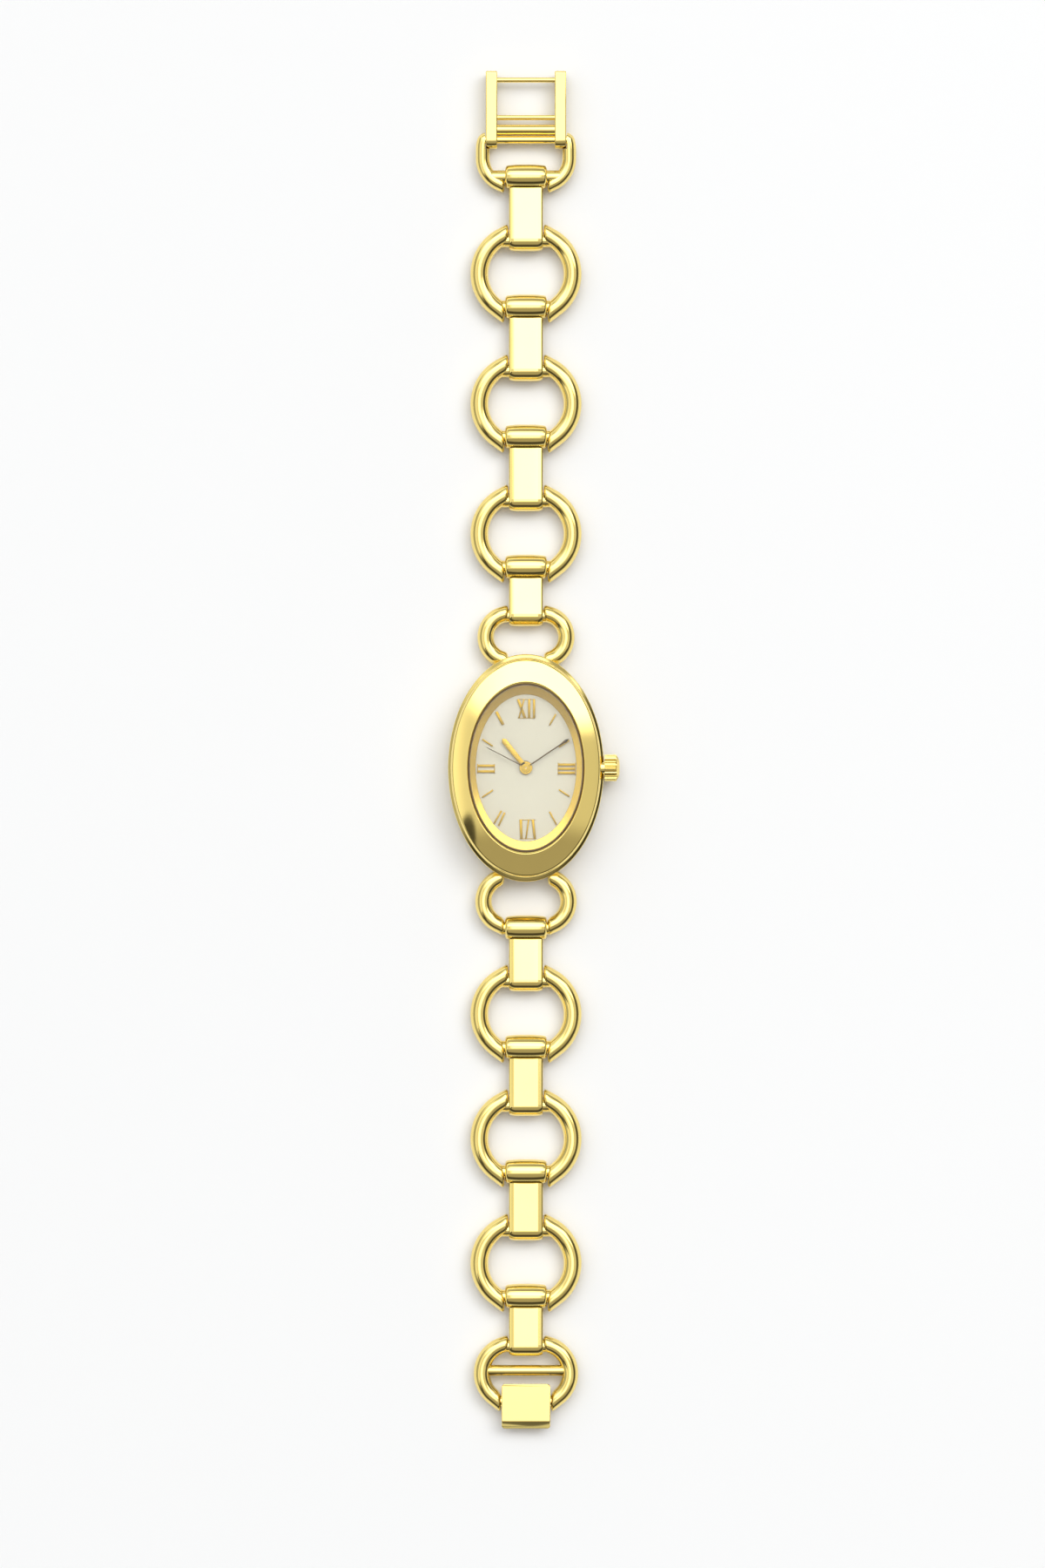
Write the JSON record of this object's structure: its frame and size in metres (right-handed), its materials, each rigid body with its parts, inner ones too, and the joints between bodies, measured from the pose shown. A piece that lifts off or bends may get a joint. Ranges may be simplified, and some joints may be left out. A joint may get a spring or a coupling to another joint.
{
  "type": "bracelet watch",
  "caption": "Small gold-tone wrist watch with a tall oval case, oval dial with raised markers, side crown, ring and folded-link bracelet, ladder and hook clasp.",
  "frame": {"origin": "dial axis at the case back's outer face, watch lying flat", "axes": "+Z out of the dial, +Y towards 12 o'clock and the ladder, +X towards the crown"},
  "size_m": [0.0232, 0.184, 0.0069],
  "materials": {
    "gold": "polished gold-tone plating",
    "dark_gold": "polished",
    "crystal": "clear mineral glass",
    "seal": "moulded amber nylon",
    "dial": "satin cream lacquer",
    "steel": "brushed",
    "battery_steel": "bright nickel",
    "rubber": "matt",
    "holder": "moulded",
    "movement_brass": "matt gilt",
    "coil_copper": "enamelled copper wire"
  },
  "bodies": {
    "case": {"case_middle": "gold", "bezel": "gold", "crystal": "crystal", "crystal_gasket": "seal", "dial": "dial", "dial_ring": "gold", "hour_markers": "dark_gold", "case_back": "steel", "back_gasket": "rubber", "crown_tube": "gold", "movement_holder": "holder", "movement_plate": "movement_brass", "train_bridge": "steel", "coil": "coil_copper", "battery": "battery_steel", "battery_clamp": "movement_brass", "lug_12": "gold", "lug_6": "gold"},
    "hour": {"hour_hand": "dark_gold", "hour_wheel": "movement_brass"},
    "minute": {"minute_hand": "dark_gold", "cannon_pinion": "steel"},
    "second": {"second_hand": "dark_gold", "second_wheel": "movement_brass"},
    "minute_wheel": {"minute_wheel": "movement_brass"},
    "clutch": {"clutch_pinion": "steel"},
    "crown": {"crown": "gold", "stem": "steel", "crown_gasket": "rubber"},
    "upper_link_1": {"upper_link_1": "gold"},
    "upper_ring_1": {"upper_ring_1": "gold"},
    "upper_link_2": {"upper_link_2": "gold"},
    "upper_ring_2": {"upper_ring_2": "gold"},
    "upper_link_3": {"upper_link_3": "gold"},
    "upper_ring_3": {"upper_ring_3": "gold"},
    "upper_link_4": {"upper_link_4": "gold"},
    "upper_end_ring": {"upper_end_ring": "gold"},
    "ladder": {"ladder_rail_left": "gold", "ladder_rail_right": "gold", "ladder_rungs": "gold"},
    "lower_link_1": {"lower_link_1": "gold"},
    "lower_ring_1": {"lower_ring_1": "gold"},
    "lower_link_2": {"lower_link_2": "gold"},
    "lower_ring_2": {"lower_ring_2": "gold"},
    "lower_link_3": {"lower_link_3": "gold"},
    "lower_ring_3": {"lower_ring_3": "gold"},
    "lower_link_4": {"lower_link_4": "gold"},
    "lower_end_ring": {"lower_end_ring": "gold", "cross_bar": "gold"},
    "hook": {"hook_plate": "gold"}
  },
  "joints": [
    {"name": "minute_turn", "type": "hinge", "parent": "case", "child": "minute", "pos_m": [0, 0, 0.005], "axis": [0, 0, -1], "continuous": true},
    {"name": "hour_turn", "type": "hinge", "parent": "case", "child": "hour", "pos_m": [0, 0, 0.0048], "axis": [0, 0, -1], "continuous": true},
    {"name": "second_turn", "type": "hinge", "parent": "case", "child": "second", "pos_m": [0, 0, 0.0052], "axis": [0, 0, -1], "continuous": true},
    {"name": "minute_wheel_turn", "type": "hinge", "parent": "case", "child": "minute_wheel", "pos_m": [-0.003, 0, 0.0037], "axis": [0, 0, -1], "continuous": true},
    {"name": "crown_turn", "type": "hinge", "parent": "case", "child": "clutch", "pos_m": [0.0046, 0, 0.0029], "axis": [1, 0, 0], "continuous": true},
    {"name": "crown_pull", "type": "slide", "parent": "clutch", "child": "crown", "axis": [1, 0, 0], "range_m": [0, 0.0008]},
    {"name": "upper_link_1_hinge", "type": "hinge", "parent": "case", "child": "upper_link_1", "pos_m": [0, 0.02065, 0.0017], "axis": [1, 0, 0], "range_deg": [-80, 80]},
    {"name": "upper_ring_1_hinge", "type": "hinge", "parent": "upper_link_1", "child": "upper_ring_1", "pos_m": [0, 0.02725, 0.0017], "axis": [-1, 0, 0], "range_deg": [-80, 80]},
    {"name": "upper_link_2_hinge", "type": "hinge", "parent": "upper_ring_1", "child": "upper_link_2", "pos_m": [0, 0.03625, 0.0017], "axis": [1, 0, 0], "range_deg": [-80, 80]},
    {"name": "upper_ring_2_hinge", "type": "hinge", "parent": "upper_link_2", "child": "upper_ring_2", "pos_m": [0, 0.0449, 0.0017], "axis": [-1, 0, 0], "range_deg": [-80, 80]},
    {"name": "upper_link_3_hinge", "type": "hinge", "parent": "upper_ring_2", "child": "upper_link_3", "pos_m": [0, 0.0539, 0.0017], "axis": [1, 0, 0], "range_deg": [-80, 80]},
    {"name": "upper_ring_3_hinge", "type": "hinge", "parent": "upper_link_3", "child": "upper_ring_3", "pos_m": [0, 0.06255, 0.0017], "axis": [-1, 0, 0], "range_deg": [-80, 80]},
    {"name": "upper_link_4_hinge", "type": "hinge", "parent": "upper_ring_3", "child": "upper_link_4", "pos_m": [0, 0.07155, 0.0017], "axis": [1, 0, 0], "range_deg": [-80, 80]},
    {"name": "upper_end_ring_hinge", "type": "hinge", "parent": "upper_link_4", "child": "upper_end_ring", "pos_m": [0, 0.0802, 0.0017], "axis": [-1, 0, 0], "range_deg": [-80, 80]},
    {"name": "ladder_hinge", "type": "hinge", "parent": "upper_end_ring", "child": "ladder", "pos_m": [0, 0.08525, 0.0017], "axis": [1, 0, 0], "range_deg": [-80, 80]},
    {"name": "lower_link_1_hinge", "type": "hinge", "parent": "case", "child": "lower_link_1", "pos_m": [0, -0.0217, 0.0017], "axis": [-1, 0, 0], "range_deg": [-80, 80]},
    {"name": "lower_ring_1_hinge", "type": "hinge", "parent": "lower_link_1", "child": "lower_ring_1", "pos_m": [0, -0.0289, 0.0017], "axis": [1, 0, 0], "range_deg": [-80, 80]},
    {"name": "lower_link_2_hinge", "type": "hinge", "parent": "lower_ring_1", "child": "lower_link_2", "pos_m": [0, -0.0379, 0.0017], "axis": [-1, 0, 0], "range_deg": [-80, 80]},
    {"name": "lower_ring_2_hinge", "type": "hinge", "parent": "lower_link_2", "child": "lower_ring_2", "pos_m": [0, -0.0458, 0.0017], "axis": [1, 0, 0], "range_deg": [-80, 80]},
    {"name": "lower_link_3_hinge", "type": "hinge", "parent": "lower_ring_2", "child": "lower_link_3", "pos_m": [0, -0.0548, 0.0017], "axis": [-1, 0, 0], "range_deg": [-80, 80]},
    {"name": "lower_ring_3_hinge", "type": "hinge", "parent": "lower_link_3", "child": "lower_ring_3", "pos_m": [0, -0.0627, 0.0017], "axis": [1, 0, 0], "range_deg": [-80, 80]},
    {"name": "lower_link_4_hinge", "type": "hinge", "parent": "lower_ring_3", "child": "lower_link_4", "pos_m": [0, -0.0717, 0.0017], "axis": [-1, 0, 0], "range_deg": [-80, 80]},
    {"name": "lower_end_ring_hinge", "type": "hinge", "parent": "lower_link_4", "child": "lower_end_ring", "pos_m": [0, -0.0784, 0.0017], "axis": [1, 0, 0], "range_deg": [-80, 80]},
    {"name": "hook_hinge", "type": "hinge", "parent": "lower_end_ring", "child": "hook", "pos_m": [0, -0.0859, 0.0017], "axis": [-1, 0, 0], "range_deg": [-60, 140]}
  ],
  "couplings": [
    {"joint": "hour_turn", "follows": "minute_turn", "ratio": 0.083333},
    {"joint": "second_turn", "follows": "minute_turn", "ratio": 60},
    {"joint": "minute_wheel_turn", "follows": "minute_turn", "ratio": -0.33333}
  ]
}
